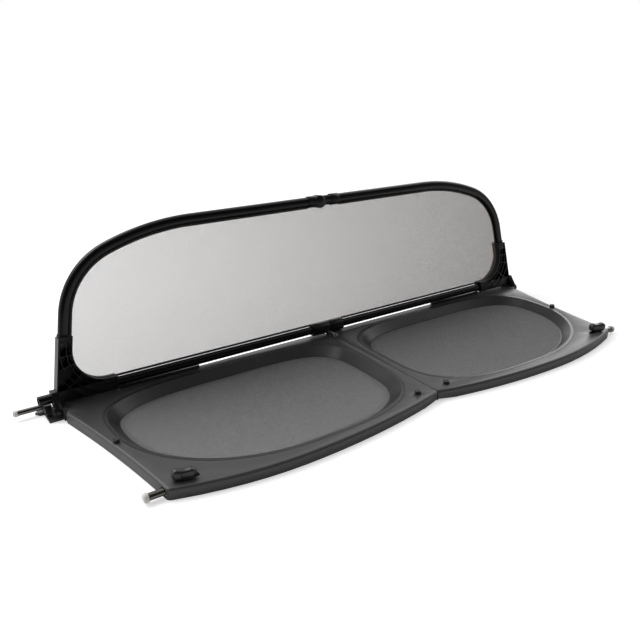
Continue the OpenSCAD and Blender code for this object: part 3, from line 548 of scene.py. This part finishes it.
def frame_run(from_x, to_s):
    """Stations along one half of the frame as rows of x, s and the angle faced: a level top, an arc of
    shoulder_r, an arc of corner_r and the leaning side, down to to_s."""
    x = np.linspace(from_x, start_x, 8)[:-1]
    level = np.column_stack([x, np.full(len(x), top_s), np.full(len(x), np.pi / 2)])
    a = np.linspace(np.pi / 2, np.pi / 2 - shoulder_turn, 24)
    first = np.column_stack([
        start_x + shoulder_r * np.cos(a), top_s - shoulder_r + shoulder_r * np.sin(a), a,
    ])
    b = np.linspace(np.pi / 2 - shoulder_turn, side_lean, 48)[1:]
    second = np.column_stack([
        bend_x + corner_r * (np.cos(b) - np.cos(side_lean)),
        bend_s + corner_r * (np.sin(b) - np.sin(side_lean)), b,
    ])
    s = np.linspace(bend_s, to_s, 6)[1:]
    leg = np.column_stack([foot_x - s * np.tan(side_lean), s, np.full(len(s), side_lean)])
    return np.concatenate([level, first, second, leg])


def drawn_in(run, inset):
    """Stations moved by inset mm against the angle that each faces."""
    x, s, a = run.T
    return np.column_stack([x - inset * np.cos(a), s - inset * np.sin(a), a])


def swept(name, section, run, side):
    """A section carried along stations: each point is the station's place, plus the section's first
    part along the angle faced, plus its second part along w. Both ends are closed."""
    x, s, a = run[:, :1], run[:, 1:2], run[:, 2:]
    out, back = section.T
    points = on_screen(x + out * np.cos(a), mid_w + back, s + out * np.sin(a))
    return build(name, points.reshape(-1, 3), tube_faces(*points.shape[:2]), side)


def oval(height, thickness, steps=20):
    """An oval, two half circles joined by flats, as outward and depth parts in mm."""
    a = np.linspace(-np.pi / 2, np.pi / 2, steps)
    end = np.column_stack([np.cos(a), np.sin(a)]) * thickness / 2 + [(height - thickness) / 2, 0]
    return np.concatenate([end, -end])


def grooved(section, lip=10.9, clear=1.6):
    """The section with a groove in its inner side: the points within clear of its middle line there
    give way to the groove's four corners, from the lip inwards."""
    lips = groove_w / 2
    inner = (section[:, 0] < 0) & (abs(section[:, 1]) < clear)
    first = int(np.flatnonzero(inner)[0])
    groove = [[-lip, lips], [-groove_in, lips], [-groove_in, -lips], [-lip, -lips]]
    return np.concatenate([section[:first], groove, section[first:][~inner[first:]]])


powder = moulded("satin black powder coat", "#060606", 0.24, 2.2, 0.03, cloud=0.05, ior=1.42)
for half, side in halves.items():
    tube = swept(
        f"frame_tube_{half}", grooved(oval(tube_h, tube_d)), frame_run(tube_starts[half], tube_foot), side,
    )
    tube.data.materials.append(powder)
    tube.modifiers.new("crisp", "EDGE_SPLIT").split_angle = np.radians(40)
    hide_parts(f"upper_tube_{half}")
    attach(tube, f"screen_{half}")
    dress(f"lower_rail_{half}", powder)

# Corner mouldings and centre joints: glass-filled nylon, warm near black, ribbed for
# stiffness. Glass in the skin makes it dull, with pale specks. A steel pin joins the lower
# blocks.
nylon = moulded("glass-filled nylon", "#0f0e0d", 0.36, 1.0, 0.04, cloud=0.12, speck=0.06, ior=1.4)
for half in halves:
    dress(f"corner_{half}", nylon, edge_mm=0.25)
    dress(f"top_joint_{half}", nylon, edge_mm=0.4)
    dress(f"bottom_joint_{half}", nylon, edge_mm=0.5)
dress("centre_pin", blackened)

# Screen cloth: one piece of open polyester mesh, stretched in the groove of both frame tubes.
# The white room shows through it, so it looks pale from in front. The halves of the frame fold
# at the middle, and the cloth's threads have joints there, 2 mm apart.

# the lower corners in mm: an arc about corner_x and low_s that runs on from the frame's sides,
# which the cloth's edge follows down to side_to
low_s, low_r, side_to = 94, 73, 110
corner_x = foot_x - low_s * np.tan(side_lean) - low_r / np.cos(side_lean)
tuck = 9.6
reach = corner_x + low_r - tuck
# the cloth is cut back round the joints: from and to in x, and the level of the cut
top_cut, foot_cut = (-32, 50, 297), (-45.3, 38.3, 33.3)


def cloth_edges(x):
    """Lowest and highest s of the cloth at each x. Above, the frame's own curve drawn in by tuck; below,
    a corner arc and a level hem; both are cut back round the joints."""
    above = drawn_in(frame_run(0, low_s), tuck)[:, :2]
    a = np.linspace(-np.pi / 2, side_lean, 60)
    arc = np.array([corner_x, low_s]) + (low_r - tuck) * np.column_stack([np.cos(a), np.sin(a)])
    widest = int(np.argmax(arc[:, 0]))
    above = np.concatenate([above[above[:, 1] > side_to], arc[:widest - 1:-1]])
    below = np.concatenate([[[0, arc[0, 1]]], arc[:widest + 1]])
    top = np.interp(abs(x), above[:, 0], above[:, 1])
    foot = np.interp(abs(x), below[:, 0], below[:, 1])
    top = np.where((x > top_cut[0]) & (x < top_cut[1]), np.minimum(top, top_cut[2]), top)
    foot = np.where((x > foot_cut[0]) & (x < foot_cut[1]), np.maximum(foot, foot_cut[2]), foot)
    return foot, top


def in_screen(x, s):
    """Whether each point lies in the screen cloth."""
    foot, top = cloth_edges(x)
    return (abs(x) < reach) & (s > foot) & (s < top)


threads, screen_faces = woven(
    in_screen, (-reach, 20), (reach, 300), width=0.25, depth=0.48, bends=range(-13, 14, 2),
)
screen_points = on_screen(threads[:, 0], mid_w + threads[:, 2], threads[:, 1])
screen_cloth = build("screen_cloth", screen_points, screen_faces, smooth=False)
screen_cloth.data.materials.append(polyester("taupe polyester thread", "#6b5b4e"))
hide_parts("screen_mesh")
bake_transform(screen_cloth)

# Hem of the screen cloth: a black plastic bead, 5 mm wide, welded to the cloth's edge and
# pressed into the groove. Its inner 3 mm show round the screen, up to the centre joints.
hem_abs = moulded("black hem strip", "#0a0a0a", 0.35, 1.2, 0.03, cloud=0.05)
hem_in, hem_w, hem_d = 11.5, 5, 2.2
# where each half of the hem starts beside its top joint and ends beside its bottom joint
hem_ends = {"left": (32, 46), "right": (50, 39)}


def hem_run(from_x, to_x):
    """Stations round one half of the cloth, hem_in inside the frame's centre line, then round the lower
    corner and along the rail."""
    a = np.linspace(side_lean, -np.pi / 2, 40)
    arc = np.column_stack([
        corner_x + (low_r - hem_in) * np.cos(a), low_s + (low_r - hem_in) * np.sin(a), a,
    ])
    last = [[to_x, low_s - (low_r - hem_in), -np.pi / 2]]
    return np.concatenate([drawn_in(frame_run(from_x, side_to - 2), hem_in), arc, last])


for half, side in halves.items():
    hem = swept(f"screen_hem_{half}", oval(hem_w, hem_d, 8), hem_run(*hem_ends[half]), side)
    hem.data.materials.append(hem_abs)
    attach(hem, f"screen_{half}")

# Studio: a white floor that runs out of sight, a white surround that is dimmer in front, and
# one large soft lamp high behind the left end. The camera stands where the photograph's did.
floor_half, floor_drop = 9, 0.0201

# matt paper, which keeps the shadow; a glow of 0.5 makes it white for the camera, and 0.1 of glow
# is left in what mirrors it
paper, tree, out = blank("white paper")
rays = put(tree, "ShaderNodeLightPath")
matt = put(tree, "ShaderNodeBsdfDiffuse", {"Color": linear("#f4f4f4")})
strength = put(tree, "ShaderNodeMath", {
    0: rays.outputs["Is Camera Ray"], 1: 0.4, 2: 0.1,
}, operation="MULTIPLY_ADD")
shine = put(tree, "ShaderNodeEmission", {"Color": (1, 1, 1, 1), "Strength": strength.outputs["Value"]})
seen = put(tree, "ShaderNodeMath", {
    0: rays.outputs["Is Camera Ray"], 1: rays.outputs["Is Glossy Ray"],
}, operation="MAXIMUM")
glow = put(tree, "ShaderNodeMixShader", {0: seen.outputs["Value"], 2: shine.outputs["Emission"]})
both = put(tree, "ShaderNodeAddShader", {0: matt.outputs["BSDF"], 1: glow.outputs["Shader"]})
tree.links.new(both.outputs["Shader"], out.inputs["Surface"])
ground = np.array([[-1, -1, 0], [1, -1, 0], [1, 1, 0], [-1, 1, 0]]) * floor_half - [0, 0, floor_drop]
floor = build("floor", ground, [[0, 1, 2, 3]], smooth=False)
floor.data.materials.append(paper)

world = bpy.data.worlds.new("white surround")
bpy.context.scene.world = world
world.use_nodes = True
tree = world.node_tree
tree.nodes.clear()
rays = put(tree, "ShaderNodeLightPath")
seen = rays.outputs["Is Camera Ray"]
for kind in ("Is Glossy Ray", "Is Transmission Ray"):
    seen = put(tree, "ShaderNodeMath", {0: seen, 1: rays.outputs[kind]}, operation="MAXIMUM").outputs["Value"]
facing = put(tree, "ShaderNodeSeparateXYZ", {
    "Vector": put(tree, "ShaderNodeTexCoord").outputs["Generated"],
})
# the room in front of the object is dimmer than the white sweep behind and above it
rear = put(tree, "ShaderNodeMapRange", {
    "Value": facing.outputs["Y"], "From Min": -0.6, "From Max": 0.45, "To Min": 0.05, "To Max": 1.0,
}, interpolation_type="SMOOTHSTEP")
# and the sweep is lit hardest on the right, which shows as a sheen at that end of the deck
bright = put(tree, "ShaderNodeMapRange", {
    "Value": facing.outputs["X"], "From Min": 0.35, "From Max": 0.9, "To Min": 1.0, "To Max": 2.6,
}, interpolation_type="SMOOTHSTEP")
mirrored = put(tree, "ShaderNodeMath", {
    0: rear.outputs["Result"], 1: bright.outputs["Result"],
}, operation="MULTIPLY")
shown = put(tree, "ShaderNodeMix", {
    "Factor": rays.outputs["Is Glossy Ray"], "A": 1.0, "B": mirrored.outputs["Value"],
})
level = put(tree, "ShaderNodeMix", {
    "Factor": seen, "A": rear.outputs["Result"], "B": shown.outputs["Result"],
})
sky = put(tree, "ShaderNodeBackground", {"Color": (1, 1, 1, 1), "Strength": level.outputs["Result"]})
put(tree, "ShaderNodeOutputWorld", {"Surface": sky.outputs["Background"]})

lamp_place, lamp_aim = seam_front + [-1.0, 1.3, 1.7], (1.0, -1.1, -1.7)
lamp = bpy.data.lights.new("softbox", "AREA")
lamp.shape = "RECTANGLE"
lamp.size = 1.6
lamp.size_y = 1.2
lamp.energy = 18
softbox = bpy.data.objects.new("softbox", lamp)
softbox.location = lamp_place
softbox.rotation_euler = mathutils.Vector(lamp_aim).to_track_quat("-Z", "Y").to_euler()
bpy.context.scene.collection.objects.link(softbox)

# the photograph is 640 pixels wide, and its focal length comes to 679.45 of them
photo_px, lens_px = 640, 679.45
camera_up, camera_turn = np.radians(21.344), np.radians(-34.883)
lens = bpy.data.cameras.new("camera")
lens.sensor_width = 36
lens.sensor_fit = "HORIZONTAL"
lens.lens = lens.sensor_width * lens_px / photo_px
lens.clip_start = 0.02
camera = bpy.data.objects.new("camera", lens)
camera.location = seam_front + [-0.84683, -0.82100, 0.59850]
camera.rotation_euler = (np.pi / 2 - camera_up, 0, camera_turn)
bpy.context.scene.collection.objects.link(camera)
bpy.context.scene.camera = camera
bpy.context.scene.view_settings.view_transform = "Standard"
